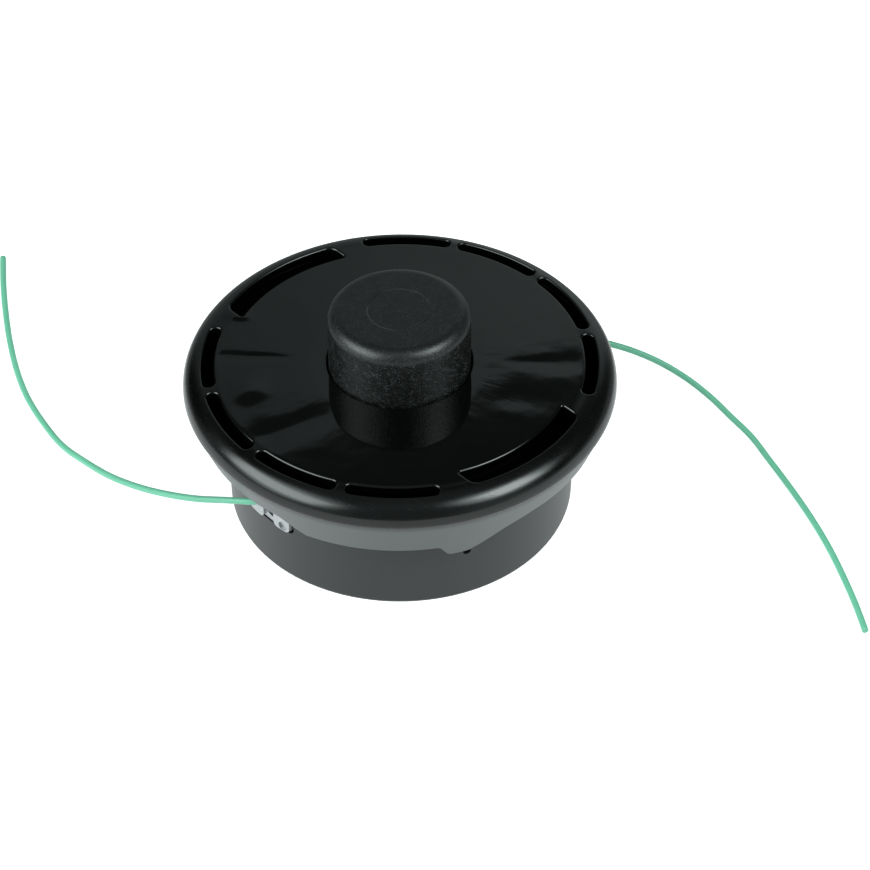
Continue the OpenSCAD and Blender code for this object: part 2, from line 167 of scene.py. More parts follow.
# %% A tube along a path, with its cut ends just broken
def tube(name, path, radius, sides=16, broken=0.12 * MM):
    first, last = (path[1] - path[0]).normalized(), (path[-1] - path[-2]).normalized()
    stations = [(path[0], radius - broken), (path[0] + first * broken, radius)]
    stations += [(point, radius) for point in path[1:-1]]
    stations += [(path[-1] - last * broken, radius), (path[-1], radius - broken)]
    bm = bmesh.new()
    rings, across = [], Vector((0, 0, 1))
    for i, (point, r) in enumerate(stations):
        ahead, behind = stations[min(i + 1, len(stations) - 1)], stations[max(i - 1, 0)]
        along = (ahead[0] - behind[0]).normalized()
        across = (across - along * across.dot(along)).normalized()
        side = along.cross(across)
        turns = [2 * pi * k / sides for k in range(sides)]
        spokes = [across * cos(turn) + side * sin(turn) for turn in turns]
        rings.append([bm.verts.new(point + r * spoke) for spoke in spokes])
    for a, b in zip(rings, rings[1:]):
        for k in range(sides):
            after = (k + 1) % sides
            bm.faces.new((a[k], a[after], b[after], b[k])).smooth = True
    bm.faces.new(reversed(rings[0]))
    bm.faces.new(rings[-1])
    data = bpy.data.meshes.new(name)
    bm.to_mesh(data)
    bm.free()
    return place_in_scene(name, data)


# %% Make both tails and say what they are
def make_tail(node, points):
    path = smooth_path(points)
    piece = tube(node + "_line", path, LINE / 2)
    length = sum((b - a).length for a, b in zip(path, path[1:]))
    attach(piece, "drum")
    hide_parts(node)
    print(piece.name, round(length / MM, 1), "mm long")
    return piece


tails = [make_tail(node, points) for node, points in TAILS.items()]

# %% [markdown]
# ## Shader sums
# A surface is described by sums: a noise here, a mask there, one times the other. Nodes could be
# placed and wired by hand, but a sum is easier to read. So one small class makes every node, and
# another wraps an output, so that + - * / and ** between outputs add the Math nodes behind them.


# %% One value in a material, with the usual arithmetic
class Value:
    def __init__(self, tree, socket):
        self.tree, self.socket = tree, socket

    def other(self, name):
        """Another output of the same node."""
        return Value(self.tree, self.socket.node.outputs[name])

    def math(self, operation, *terms):
        return self.tree.make("Math", {"operation": operation}, dict(enumerate(terms)))

    def __add__(self, other):
        return self.math("ADD", self, other)

    def __sub__(self, other):
        return self.math("SUBTRACT", self, other)

    def __rsub__(self, other):
        return self.math("SUBTRACT", other, self)

    def __mul__(self, other):
        return self.math("MULTIPLY", self, other)

    def __truediv__(self, other):
        return self.math("DIVIDE", self, other)

    def __rtruediv__(self, other):
        return self.math("DIVIDE", other, self)

    def __pow__(self, other):
        return self.math("POWER", self, other)

    def __rpow__(self, other):
        return self.math("POWER", other, self)

    def __neg__(self):
        return self * -1.0

    __radd__, __rmul__ = __add__, __mul__

    def exp(self):
        return self.math("EXPONENT", self)

    def ramp(self, low, high, to_low=0.0, to_high=1.0):
        """A smooth step from to_low at low to to_high at high."""
        return self.tree.make("MapRange", {"interpolation_type": "SMOOTHSTEP"}, {
            "Value": self, "From Min": low, "From Max": high, "To Min": to_low, "To Max": to_high,
        })


# %% A node tree, whose nodes all come from one method
class Tree:
    def __init__(self, owner):
        owner.use_nodes = True
        self.tree = owner.node_tree
        self.tree.nodes.clear()

    def make(self, kind, settings, sockets, out=0):
        """A node by its type, its settings first, then the values or links of its sockets."""
        node = self.tree.nodes.new("ShaderNode" + kind)
        for key, setting in settings.items():
            setattr(node, key, setting)
        for key, value in sockets.items():
            if isinstance(value, Value):
                self.tree.links.new(value.socket, node.inputs[key])
            else:
                node.inputs[key].default_value = value
        return Value(self, node.outputs[out] if len(node.outputs) else None)

    def axes(self, place):
        split = self.make("SeparateXYZ", {}, {0: place})
        return split, split.other("Y"), split.other("Z")

    def mix_shader(self, share, first, second):
        return self.make("MixShader", {}, {0: share, 1: first, 2: second})


# %% A material around one principled shader
# The dull black that painted shade mixes a surface towards.
PAINTED_SHADE_BLACK = (0.001, 0.001, 0.001, 1)


class Paint(Tree):
    """Numbers stay on the shader's sockets, and what varies over the surface is wired in."""

    def __init__(self, name, colour, roughness, **rest):
        self.material = bpy.data.materials.new(name)
        self.material.diffuse_color = (*colour, 1)
        super().__init__(self.material)
        self.sockets = {"Base Color": (*colour, 1), "Roughness": roughness}
        self.sockets.update({key.replace("_", " "): value for key, value in rest.items()})
        self.place = self.make("TexCoord", {}, {}, "Object")
        self.x, self.y, self.z = (axis / MM for axis in self.axes(self.place))
        self.radius = (self.x * self.x + self.y * self.y) ** 0.5
        self.height, self.painted_shade_share = None, None

    def noise(self, size, detail=2.0, rough=0.5, stretch=(1, 1, 1), warp=0.0, place=None):
        """Noise from 0 to 1, whose lumps are about size millimetres across."""
        where = {0: place or self.place, 1: stretch}
        return self.make("TexNoise", {}, {
            "Vector": self.make("VectorMath", {"operation": "MULTIPLY"}, where),
            "Scale": 1 / (size * MM), "Detail": detail, "Roughness": rough, "Distortion": warp,
        })

    def twisted(self, per_mm):
        """The place, turned about the axis by so many radians for each millimetre of height."""
        turn = self.z * per_mm
        c, s = turn.math("COSINE", turn), turn.math("SINE", turn)
        return self.make("CombineXYZ", {}, {
            "X": (self.x * c - self.y * s) * MM, "Y": (self.x * s + self.y * c) * MM,
            "Z": self.z * MM,
        })

    def spoke_noise(self, size, around, detail=2.0):
        """Noise drawn out along the radius, with about 6 times around lumps in a full turn."""
        spokes = self.make("CombineXYZ", {}, {
            "X": self.x / self.radius * around, "Y": self.y / self.radius * around,
            "Z": self.radius / size,
        })
        return self.make("TexNoise", {}, {"Vector": spokes, "Scale": 1.0, "Detail": detail})

    def mixed(self, dark, light, share):
        self.sockets["Base Color"] = self.make(
            "Mix", {"data_type": "RGBA"}, {0: share, 6: (*dark, 1), 7: (*light, 1)}, 2
        )

    def raise_by(self, height):
        """Adds a relief, in millimetres."""
        self.height = height if self.height is None else self.height + height

    def done(self):
        if self.height is not None:
            relief = {"Distance": MM, "Height": self.height}
            self.sockets["Normal"] = self.make("Bump", {}, relief)
        surface = self.make("BsdfPrincipled", {}, self.sockets)
        # Painted shade: a surface with a share of painted shade is mixed towards a dull black
        # diffuse.
        if self.painted_shade_share is not None:
            dull = self.make("BsdfDiffuse", {}, {"Color": PAINTED_SHADE_BLACK})
            surface = self.mix_shader(self.painted_shade_share, surface, dull)
        self.make("OutputMaterial", {}, {"Surface": surface})
        print("finish", self.material.name, len(self.tree.nodes), "nodes")
        return self.material


PAINTS = {}

# %% [markdown]
# ## The housing's finish
# Dark grey glass-filled nylon from a fine-textured mould: satin, a little cloudy. The flared
# skirt is painted paler, as painted light from the bench below, and its top is painted darker,
# as painted shade where it goes in under the cover. The flange below the cover never sees the
# light, and a painted shade mixes it towards a dull black. A baked picture could show the same,
# but nodes stay sharp at any size.


# %% Housing
SKIRT_R = (54.6, 55.4)  # from the drum to the skirt, in millimetres
# Heights over which the skirt's top goes from painted shade under the cover to painted light from
# below.
SKIRT_PAINTED_SHADE_Z, SKIRT_PAINTED_LIGHT_Z = 42.5, 38.8
# Where the flange under the cover is mixed to a dull black, as painted shade.
FLANGE_SHADE_Z, FLANGE_SHADE_R = (40.8, 41.6), (62.6, 62.2)


def housing_paint():
    p = Paint("housing_plastic", (0.028, 0.030, 0.031), 0.42, IOR=1.5)
    cloud, grain = p.noise(18, 3.0), p.noise(0.35, 2.0)
    skirt = p.radius.ramp(*SKIRT_R)
    # Painted shade at the skirt's top under the cover, turning into painted light lower down.
    painted_light_and_shade = p.z.ramp(SKIRT_PAINTED_SHADE_Z, SKIRT_PAINTED_LIGHT_Z, -0.05, 0.72)
    p.mixed((0.001, 0.001, 0.001), (0.080, 0.086, 0.088), 0.13 + 0.1 * cloud + painted_light_and_shade * skirt)
    p.sockets["Roughness"] = 0.36 + 0.1 * cloud + 0.06 * grain
    # Painted shade: the flange under the cover mixes towards a dull black.
    p.painted_shade_share = p.z.ramp(*FLANGE_SHADE_Z) * p.radius.ramp(*FLANGE_SHADE_R)
    p.raise_by(0.008 * grain + 0.03 * p.noise(9, 2.0))
    return p.done()


PAINTS["housing_plastic"] = housing_paint()

# %% [markdown]
# ## The cover's finish
# Black polypropylene from a polished mould. Where ribs and thick places sit underneath, the face
# sank by a few hundredths of a millimetre as it cooled, and gloss makes that visible: each hollow
# bends the reflection of the room's pale panel. So the marks are not painted. They are a relief,
# and they move as the eye moves, as on the real one. The rim is duller and lightly scratched from
# handling.

# %% Marks on the cover
SINKS = (  # azimuth, widening and depth of the two long sinks
    (177.2, 0.075, 0.085),
    (357.4, 0.115, 0.045),
)
SWELLS = (  # x, y, half length, half width, turn of the length, height
    (-45.2, -12.4, 4.8, 6.0, -34, 0.12),
    (-30.0, -28.2, 11.0, 4.4, 27, -0.085),
    (-39.0, -33.2, 5.2, 5.0, 0, -0.075),
    (37.0, -19.0, 8.0, 5.0, -14, -0.05),
    (-49.0, 22.0, 4.4, 2.6, -12, 0.10),
    (14.0, 44.0, 8.0, 6.0, 10, -0.04),
    (-36.0, 18.0, 8.0, 5.0, 30, -0.025),
)
FAN_AZ, FAN_HALF = -26, 11  # fine flow lines right of the knob


def add_sinks(p, share):
    for azimuth, widening, depth in SINKS:
        c, s = cos(radians(azimuth)), sin(radians(azimuth))
        along, across = p.x * c + p.y * s, p.y * c - p.x * s
        wide = (along - 20) * widening + 0.5
        hollow = (-(across * across) / (wide * wide)).exp()
        p.raise_by(hollow * along.ramp(26, 46, 0.0, -depth) * along.ramp(57, 52) * share)


def add_swells(p):
    for x, y, long, wide, turn, height in SWELLS:
        c, s = cos(radians(turn)), sin(radians(turn))
        u = ((p.x - x) * c + (p.y - y) * s) / long
        v = ((p.y - y) * c - (p.x - x) * s) / wide
        p.raise_by(height * (-(u * u + v * v)).exp())


# %% Cover
COVER_BLACK, COVER_DUST = (0.0006, 0.0007, 0.0007), (0.03, 0.032, 0.032)


def cover_paint():
    p = Paint("cover_plastic", COVER_BLACK, 0.1, IOR=1.5)
    face = p.radius.ramp(57, 54)
    waves = face * p.radius.ramp(22, 28)
    handled = p.noise(11, 2.0)
    scratches = p.noise(0.5, 3.0, 0.6, (1, 0.12, 1), place=p.twisted(0.05)).ramp(0.58, 0.74)
    dust = p.noise(0.6, 1.0).ramp(0.79, 0.83)
    p.mixed(COVER_BLACK, COVER_DUST, 0.5 * dust * face)
    rim_rough = 0.14 + 0.11 * handled + 0.14 * scratches
    face_rough = 0.045 + 0.02 * handled
    p.sockets["Roughness"] = face_rough * face + rim_rough * (1 - face)
    p.raise_by(waves * (0.045 * p.noise(17, 1.0, warp=0.6) + 0.03 * p.spoke_noise(14.0, 4.0)))
    c, s = cos(radians(FAN_AZ)), sin(radians(FAN_AZ))
    toward = (p.x * c + p.y * s) / p.radius
    fan = toward.ramp(cos(radians(FAN_HALF)), 1.0)
    fan = fan * p.radius.ramp(23, 28) * p.radius.ramp(44, 34)
    p.raise_by(0.006 * fan * p.spoke_noise(30.0, 45.0, 1.0))
    add_sinks(p, waves)
    add_swells(p)
    p.raise_by(0.003 * p.noise(1.6, 3.0) * (1 - 0.5 * face) + 0.003 * scratches * (1 - face))
    return p.done()


PAINTS["cover_plastic"] = cover_paint()


# %% The walls of the slots: as the mould's cores leave them, matt and black
def slot_wall_paint():
    p = Paint("slot_wall", (0.0008, 0.0008, 0.0008), 0.7, IOR=1.2)
    p.sockets["Roughness"] = 0.6 + 0.3 * p.noise(0.6, 2.0)
    p.raise_by(0.01 * p.noise(0.5, 2.0))
    return p.done()


PAINTS["slot_wall"] = slot_wall_paint()

# %% [markdown]
# ## The knob's finish
# The knob's mould was spark-eroded, so it has a coarse matt grain. It is bumped on the ground at
# every feed, and the turning head draws pale scuffs around it that lean with the spin. The scuffs
# are a noise that is squeezed along the height and twisted about the axis, so that it has no
# seam.


# %% Knob
# The pale colour serves the scuffs and specks, and the painted highlight along the ring.
KNOB_BLACK, KNOB_SCUFF_AND_HIGHLIGHT = (0.0015, 0.0018, 0.0018), (0.16, 0.168, 0.17)


def knob_paint():
    p = Paint("knob_plastic", (0.008, 0.0085, 0.0085), 0.34, IOR=1.5)
    grain, lumps = p.noise(0.56, 2.0, 0.6), p.noise(2.6, 3.0, 0.65)
    side = p.z.ramp(68.2, 66.0)
    scuff = p.noise(0.6, 2.0, 0.6, (1, 1, 0.2), place=p.twisted(0.06)).ramp(0.53, 0.68)
    worn = scuff * p.noise(7, 2.0).ramp(0.42, 0.62)
    speck = grain.ramp(0.5, 0.66) * lumps.ramp(0.36, 0.62)
    # A faint paler ring along the top's groove: a painted highlight on the groove's edge.
    ring_highlight = p.radius.ramp(9.15, 9.3) * p.radius.ramp(9.75, 9.6) * p.noise(9, 1.0).ramp(0.4, 0.6)
    marks = (0.04 + 0.16 * side) * worn + (0.07 + 0.16 * side) * speck
    p.mixed(KNOB_BLACK, KNOB_SCUFF_AND_HIGHLIGHT, 0.012 + marks + 0.13 * ring_highlight * (1 - side))
    p.sockets["Roughness"] = 0.24 + 0.12 * lumps + 0.14 * grain
    p.raise_by((0.06 + 0.07 * side) * grain + 0.1 * side * lumps)
    return p.done()


PAINTS["knob_plastic"] = knob_paint()

# %% [markdown]
# ## The other finishes
# The line is translucent nylon, dyed green through and through, so light goes a little way into
# it. The eyelets are light die-cast metal with a cast skin. The steel pieces are zinc plated and
# turned, the spool is satin black, and the two clutch rings are nylon in its own cream colour.


# %% Line, eyelets and spool
def line_paint():
    p = Paint("cutting_line", (0.14, 0.48, 0.31), 0.4, IOR=1.5, Subsurface_Weight=0.3)
    p.sockets["Subsurface Radius"] = (0.3 * MM, 1.0 * MM, 0.6 * MM)
    p.mixed((0.14, 0.45, 0.295), (0.15, 0.49, 0.325), p.noise(7, 2.0))
    p.sockets["Roughness"] = 0.36 + 0.08 * p.noise(0.9, 2.0)
    return p.done()


def alloy_paint():
    p = Paint("light_alloy", (0.42, 0.43, 0.44), 0.38, Metallic=0.85)
    p.mixed((0.36, 0.37, 0.38), (0.5, 0.51, 0.52), p.noise(1.6, 3.0))
    p.sockets["Roughness"] = 0.3 + 0.2 * p.noise(0.7, 3.0)
    p.raise_by(0.04 * p.noise(0.8, 3.0))
    return p.done()


def spool_paint():
    p = Paint("spool_plastic", (0.02, 0.02, 0.02), 0.4, IOR=1.5)
    p.mixed((0.016, 0.016, 0.016), (0.024, 0.024, 0.024), p.noise(11, 2.0))
    p.sockets["Roughness"] = 0.32 + 0.16 * p.noise(6, 2.0)
    p.raise_by(0.006 * p.noise(0.4, 2.0))
    return p.done()


PAINTS.update(cutting_line=line_paint(), light_alloy=alloy_paint(), spool_plastic=spool_paint())


# %% Nylon and steel
def nylon_paint():
    p = Paint("natural_nylon", (0.62, 0.58, 0.47), 0.45, Subsurface_Weight=0.1)
    p.mixed((0.58, 0.54, 0.43), (0.66, 0.62, 0.52), p.noise(8, 2.0))
    p.sockets["Roughness"] = 0.4 + 0.12 * p.noise(1.0, 2.0)
    p.raise_by(0.006 * p.noise(0.5, 2.0))
    return p.done()


def steel_paint(name, colour, rough):
    p = Paint(name, colour, rough, Metallic=1.0)
    turned = p.noise(0.25, 2.0, stretch=(0.3, 0.3, 4))
    p.mixed([c * 0.8 for c in colour], colour, p.noise(3, 2.0))
    p.sockets["Roughness"] = rough - 0.08 + 0.16 * turned
    p.raise_by(0.004 * turned)
    return p.done()


PAINTS["natural_nylon"] = nylon_paint()
PAINTS["plated_steel"] = steel_paint("plated_steel", (0.6, 0.6, 0.58), 0.32)
PAINTS["spring_steel"] = steel_paint("spring_steel", (0.3, 0.3, 0.31), 0.36)


# %% Give every piece its finish
def dress(piece, *slots):
    piece.data.materials.clear()
    for slot in slots:
        piece.data.materials.append(PAINTS[slot])


for entry in frame["record"]["subparts"]:
    dress(NODES[entry["node"]], entry["material_slot"])
for tail in tails:
    dress(tail, "cutting_line")

# %% [markdown]
# ## The feed spring
# The knob is pressed in against this spring. Its CAD solid can't get shorter, so in a pressed
# pose it would poke through its washer. Here it is drawn again as a wire coil with closed ends,
# at the solid's full height, and the coil is not shortened here either.

# %% Path of the spring's wire
COIL_R, WIRE, WORKING_TURNS = 17.3 * MM, 2.0 * MM, 2.5
CLOSED_TURNS, CLOSED_RISE = 0.9, 0.135  # at each end, as a share of the spring's height
STEPS_PER_TURN = 48


def coil_rise(turns):
    """The share of the height reached after so many turns: slow, then an even pitch, then slow."""
    left = WORKING_TURNS + 2 - turns
    if turns < CLOSED_TURNS:
        return turns / CLOSED_TURNS * CLOSED_RISE
    if left < CLOSED_TURNS:
        return 1 - left / CLOSED_TURNS * CLOSED_RISE
    even = WORKING_TURNS + 2 - 2 * CLOSED_TURNS
    return CLOSED_RISE + (turns - CLOSED_TURNS) / even * (1 - 2 * CLOSED_RISE)


def coil_path(foot, head):
    steps = round((WORKING_TURNS + 2) * STEPS_PER_TURN)
    path = []
    for turns in (step / STEPS_PER_TURN for step in range(steps + 1)):
        z = foot + WIRE / 2 + (head - foot - WIRE) * coil_rise(turns)
        path.append(Vector((COIL_R * cos(2 * pi * turns), COIL_R * sin(2 * pi * turns), z)))
    return path


# %% Feed spring
foot, head = (corner[2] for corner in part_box("feed_spring"))
feed_coil = tube("feed_coil", coil_path(foot, head), WIRE / 2, sides=14)
dress(feed_coil, "spring_steel")
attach(feed_coil, "drum")
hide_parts("feed_spring")
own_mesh(feed_coil)

# %% [markdown]
# ## The cover
# A moulder never leaves a slot with a sharp mouth, but the CAD keeps the slots square-edged,
# which is kinder to its checks. A bevel modifier could round them, but it stumbles where two
# slots nearly meet. So each slot is drawn as a loop that can be grown outward, and the round is a
# few grown loops at falling height. A triangulation fills the flat between the loops, and the
# rounded rim is a stack of rings around it. Normals are set from the true surface, so the gloss
# shows no facets.

# %% Sizes of the cover, in millimetres
COVER_R, COVER_Z, SEAM_Z, UNDER_Z = 65.0, 49.9, 42.6, 47.1
RIM_OUT, RIM_UP = 8.0, 6.8
ROUND_R, ROUND_Z = COVER_R - RIM_OUT, COVER_Z - RIM_UP
HOLE_R, HOLE_ROUND, MOUTH = 21.65, 0.5, 0.75
LIP, TURNED_IN = 2.4, 4.8  # the rim's wall, and where the underside turns flat
SLOT_R0, SLOT_R1 = 55.6, 59.2
SHORT_STARTS, SHORT_WIDE = (31.4, 61.4, -58.5, -88.5), 27.2
LONG_R0, LONG_R1, LONG_AZ, LONG_REACH = 52.0, 57.9, 132.2, 21.1
WIDE_ROUND, TIGHT_ROUND = 3.0, 0.7
print("cover", 2 * COVER_R, "mm across,", 2 * (len(SHORT_STARTS) + 1), "slots")


# %% Outlines of the slots, which can be grown
def polar(r, a):
    return r * cos(radians(a)), r * sin(radians(a))


def arc_points(centre, r, a0, a1, n):
    """n points from a0 to a1, each with its outward direction."""
    out = []
    for i in range(n):
        a = a0 + (a1 - a0) * i / (n - 1)
        x, y = polar(r, a)
        out.append(((centre[0] + x, centre[1] + y), polar(1, a)))
    return out


def inner_arc(r, a0, a1, n):
    """An arc about the axis whose outward side, seen from the slot, is towards the axis."""
    return [(q, (-d[0], -d[1])) for q, d in arc_points((0, 0), r, a0, a1, n)]


def short_loop(a0, a1, grow):
    """A short slot with round ends, anticlockwise."""
    half = (SLOT_R1 - SLOT_R0) / 2
    mid = SLOT_R0 + half
    trim = degrees(half / mid)
    s, e = a0 + trim, a1 - trim
    outer = arc_points((0, 0), SLOT_R1 + grow, s, e, 26)
    end = arc_points(polar(mid, e), half + grow, e, e + 180, 13)[1:-1]
    start = arc_points(polar(mid, s), half + grow, s + 180, s + 360, 13)[1:-1]
    return outer + end + inner_arc(SLOT_R0 - grow, e, s, 26) + start


def long_loop(az, grow):
    """A long slot: straight parallel ends, with a wide round outside and a tight one inside."""
    out_r, in_r = LONG_R1 - WIDE_ROUND, LONG_R0 + TIGHT_ROUND
    out_a = degrees(asin((LONG_REACH - WIDE_ROUND) / out_r))
    in_a = degrees(asin((LONG_REACH - TIGHT_ROUND) / in_r))
    wide, tight = WIDE_ROUND + grow, TIGHT_ROUND + grow
    outer = arc_points((0, 0), LONG_R1 + grow, az - out_a, az + out_a, 44)
    end = arc_points(polar(out_r, az + out_a), wide, az + out_a, az + 90, 9)[1:]
    end += arc_points(polar(in_r, az + in_a), tight, az + 90, az + 180 + in_a, 9)[:-1]
    start = arc_points(polar(in_r, az - in_a), tight, az + 180 - in_a, az + 270, 9)[1:]
    start += arc_points(polar(out_r, az - out_a), wide, az + 270, az + 360 - out_a, 9)[:-1]
    return outer + end + inner_arc(LONG_R0 - grow, az + in_a, az - in_a, 48) + start


def all_loops(grow):
    loops = []
    for base in (LONG_AZ, LONG_AZ + 180):
        loops.append(long_loop(base, grow))
        for first in SHORT_STARTS:
            loops.append(short_loop(base + first, base + first + SHORT_WIDE, grow))
    return loops


def points_of(loops):
    return [[q for q, _ in loop] for loop in loops]


print("slot outlines have", [len(loop) for loop in all_loops(0)[:2]], "points")


# %% The true top surface: flat, then rounding off to the edge
def rim_lean(r):
    """The sine of the rim's turn at a radius: 0 on the flat, 1 at the outermost edge."""
    return max(0.0, min(1.0, (r - ROUND_R) / RIM_OUT))


def top_height(r):
    return ROUND_Z + RIM_UP * sqrt(1 - rim_lean(r) ** 2)


def top_normal(x, y):
    r = hypot(x, y)
    lean = rim_lean(r)
    out, up = lean / RIM_OUT, sqrt(1 - lean * lean) / RIM_UP
    return Vector((x / r * out, y / r * out, up)).normalized()


print("top is", round(top_height(SLOT_R1), 2), "mm high at the slots' outer edge")


# %% A mesh that is collected point by point
class Skin:
    """Vertices with their true normals, and faces with the number of their finish."""

    def __init__(self):
        self.points, self.normals, self.faces, self.paints = [], [], [], []

    def add(self, point, normal):
        self.points.append(Vector(point) * MM)
        self.normals.append(Vector(normal).normalized())
        return len(self.points) - 1

    def face(self, corners, paint=0):
        self.faces.append(tuple(corners))
        self.paints.append(paint)

    def strip(self, a, b, paint=0):
        n = len(a)
        for i in range(n):
            self.face((a[i], a[(i + 1) % n], b[(i + 1) % n], b[i]), paint)

    def revolve(self, profile, n=360):
        """Rings from (radius, height, normal out, normal up) rows, joined in order."""
        rings = []
        for r, z, out, up in profile:
            spokes = [polar(1, i * 360 / n) for i in range(n)]
            rings.append([
                self.add((x * r, y * r, z), (x * out, y * out, up)) for x, y in spokes
            ])
        for a, b in zip(rings, rings[1:]):
            self.strip(b, a)

    def mesh(self, name):
        data = bpy.data.meshes.new(name)
        data.from_pydata(self.points, [], self.faces)
        data.update()
        data.polygons.foreach_set("use_smooth", [True] * len(data.polygons))
        data.polygons.foreach_set("material_index", self.paints)
        data.normals_split_custom_set_from_vertices(self.normals)
        return data


# %% Fill the flat between the slots
LONG_HALF, SHORT_CLEAR = 24.5, 1.2  # in degrees
EXTRA_RINGS = (ROUND_R, ROUND_R + 0.9, ROUND_R + 1.7, ROUND_R + 2.5)


def near_slot(a):
    """Whether an azimuth meets a slot or comes within about a millimetre of one."""
    for turn in (0, 180):
        t = (a - LONG_AZ - turn + 180) % 360 - 180
        if abs(t) < LONG_HALF:
            return True
        if any(s - SHORT_CLEAR < t < s + SHORT_WIDE + SHORT_CLEAR for s in SHORT_STARTS):
            return True
    return False


def inside(p, loop):
    hit = False
    for a, b in zip(loop, loop[1:] + loop[:1]):
        if (a.y > p.y) != (b.y > p.y):
            if p.x < (b.x - a.x) * (p.y - a.y) / (b.y - a.y) + a.x:
                hit = not hit
    return hit


def flat_with_slots(skin, loops, r_in, r_out, height, normal, flip=False):
    """Fills the ring between two circles, leaving the slots open."""
    circles = [[polar(r_out, i) for i in range(360)], [polar(r_in, i * 2) for i in range(180)]]
    coords, edges = [], []
    for loop in circles + loops:
        base = len(coords)
        coords += [Vector(q) for q in loop]
        edges += [(base + i, base + (i + 1) % len(loop)) for i in range(len(loop))]
    for r in EXTRA_RINGS:
        coords += [Vector(polar(r, a)) for a in range(360) if not near_slot(a)]
    verts, _, faces, _, _, _ = delaunay_2d_cdt(coords, edges, [], 0, 1e-5)
    ids = [skin.add((v.x, v.y, height(v.length)), normal(v.x, v.y)) for v in verts]
    gaps = [[Vector(q) for q in loop] for loop in loops]
    for face in faces:
        c = sum((verts[i] for i in face), Vector((0, 0))) / len(face)
        if r_in < c.length < r_out and not any(inside(c, gap) for gap in gaps):
            skin.face(ids[i] for i in (reversed(face) if flip else face))


# %% The mouths and walls of the slots
def add_slots(skin, steps=5):
    turns = [pi / 2 * k / steps for k in range(steps + 1)]
    rows = [all_loops(MOUTH * (1 - sin(turn))) for turn in turns]
    for loops in zip(*rows):
        last = None
        for turn, loop in zip(turns, loops):
            ids = []
            for (x, y), out in loop:
                z = top_height(hypot(x, y)) - MOUTH * (1 - cos(turn))
                n = top_normal(x, y) * cos(turn) - Vector((*out, 0)) * sin(turn)
                ids.append(skin.add((x, y, z), n))
            if last:
                skin.strip(last, ids)
            last = ids
        wall = [
            skin.add((x, y, UNDER_Z), (-out[0], -out[1], 0)) for (x, y), out in loops[-1]
        ]
        skin.strip(last, wall, paint=1)


# %% Rim, underside and hole
def add_rim(skin, edge_r, steps=24):
    start = asin(rim_lean(edge_r))
    rows = []
    for k in range(steps + 1):
        a = start + (pi / 2 - start) * k / steps
        s, c = sin(a), cos(a)
        rows.append((ROUND_R + RIM_OUT * s, ROUND_Z + RIM_UP * c, s / RIM_OUT, c / RIM_UP))
    rows += [(COVER_R, SEAM_Z + 0.3, 1, 0), (COVER_R - 0.08, SEAM_Z + 0.08, 0.7, -0.7)]
    rows += [(COVER_R - 0.3, SEAM_Z, 0, -1), (COVER_R - LIP, SEAM_Z, 0, -1)]
    skin.revolve(rows)


def add_underside(skin):
    wall_r, flat_r = COVER_R - LIP, COVER_R - TURNED_IN
    skin.revolve([
        (wall_r, SEAM_Z, -1, 0), (wall_r, UNDER_Z - 2.4, -1, 0),
        (COVER_R - 3.1, UNDER_Z - 0.7, -0.7, -0.7), (flat_r, UNDER_Z, 0, -1),
    ])
    flat_with_slots(
        skin, points_of(all_loops(0)), HOLE_R, flat_r,
        lambda r: UNDER_Z, lambda x, y: (0, 0, -1), flip=True,
    )
    skin.revolve([
        (HOLE_R, UNDER_Z, -1, 0), (HOLE_R, COVER_Z - HOLE_ROUND, -1, 0),
        (HOLE_R + 0.15, COVER_Z - 0.15, -0.7, 0.7), (HOLE_R + HOLE_ROUND, COVER_Z, 0, 1),
    ])


def make_cover():
    skin = Skin()
    edge_r = ROUND_R + 3.2  # just outside the slots' mouths
    mouths = points_of(all_loops(MOUTH))
    flat_with_slots(skin, mouths, HOLE_R + HOLE_ROUND, edge_r, top_height, top_normal)
    add_slots(skin)
    add_rim(skin, edge_r)
    add_underside(skin)
    return place_in_scene("cover_shell", skin.mesh("cover_shell"))


# %% The collar, ring, lugs and ribs under the face, taken over from the CAD solid
def cover_inside():
    data = NODES["cover"].data.copy()
    bm = bmesh.new()
    bm.from_mesh(data)
    face_z, under_z, rim_r = (UNDER_Z + 0.01) * MM, (UNDER_Z - 0.1) * MM, 60 * MM
    drop = [
        f for f in bm.faces
        if any(v.co.z > face_z for v in f.verts)
        or all(v.co.z > under_z for v in f.verts)
        or all(v.co.xy.length > rim_r for v in f.verts)
    ]
    bmesh.ops.delete(bm, geom=drop, context="FACES")
    bm.to_mesh(data)
    bm.free()
    return place_in_scene("cover_inside", data)


# %% Make the cover
cover_pieces = (make_cover(), cover_inside())
dress(cover_pieces[0], "cover_plastic", "slot_wall")
dress(cover_pieces[1], "slot_wall")
for piece in cover_pieces:
    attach(piece, "lid")
    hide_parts("cover")
    print(piece.name, len(piece.data.polygons), "faces")

# %% [markdown]
# ## The bench
# The photograph is a cut-out on pure white, and the skirt is bright from below, as on a light
# table. So the bench glows on the head, more at its sides and hardly at all behind it. The camera
# sees it as plain white with a little matt white added, so that open bench clips to white and the
# ground right beside the head keeps a faint shadow. It could be white for glossy rays as well,
# but then the black rim, which is nearly a mirror at its edge, would lose the dark outline that
# it has in the photograph. The bench has no back, so the head's gear side can be looked at from
# below.

# %% Bench
GLOW_FRONT, GLOW_BACK = 1.1, 0.25
GLOW_BORDER = (0.05, 0.16)  # the glow falls from front to back between these, in metres
GLOW_TINT = (0.94, 1.0, 1.0, 1)
SIDE_REACH, LEFT_MORE, RIGHT_MORE = 0.09, 0.2, 0.13
PLAIN_WHITE, MATT_WHITE = 0.6, (0.9, 0.9, 0.9, 1)
BENCH_HALF, BENCH_Z = 4.0, -0.02 * MM  # just clear of the head's flat face


